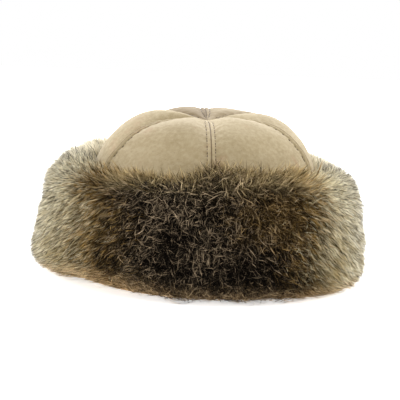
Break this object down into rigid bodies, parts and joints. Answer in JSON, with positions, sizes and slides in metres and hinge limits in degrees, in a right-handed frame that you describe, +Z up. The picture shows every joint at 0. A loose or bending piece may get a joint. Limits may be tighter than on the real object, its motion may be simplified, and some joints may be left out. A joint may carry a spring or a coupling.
{
  "type": "fur toque",
  "caption": "Round winter hat: a low gored suede crown, dimpled at its middle, set in a deep upright cuff of long fur, open below for the head.",
  "frame": {"origin": "middle of the footprint, on the plane that the cuff rests on", "axes": "+Z up through the crown, -Y the front of the hat, +X the wearer's left, +Y the long way from front to back"},
  "size_m": [0.275, 0.294, 0.1398],
  "materials": {
    "suede": "sueded beige lambskin, brushed nap",
    "pelt_skin": "undyed flesh side of a pelt",
    "fur": "long banded fur, dark brown at the front and pale at the sides"
  },
  "bodies": {
    "root": {"crown_gore_front_right": "suede", "crown_gore_right": "suede", "crown_gore_back_right": "suede", "crown_gore_back_left": "suede", "crown_gore_left": "suede", "crown_gore_front_left": "suede", "cuff_skin": "pelt_skin", "cuff_fur": "fur"}
  },
  "joints": []
}
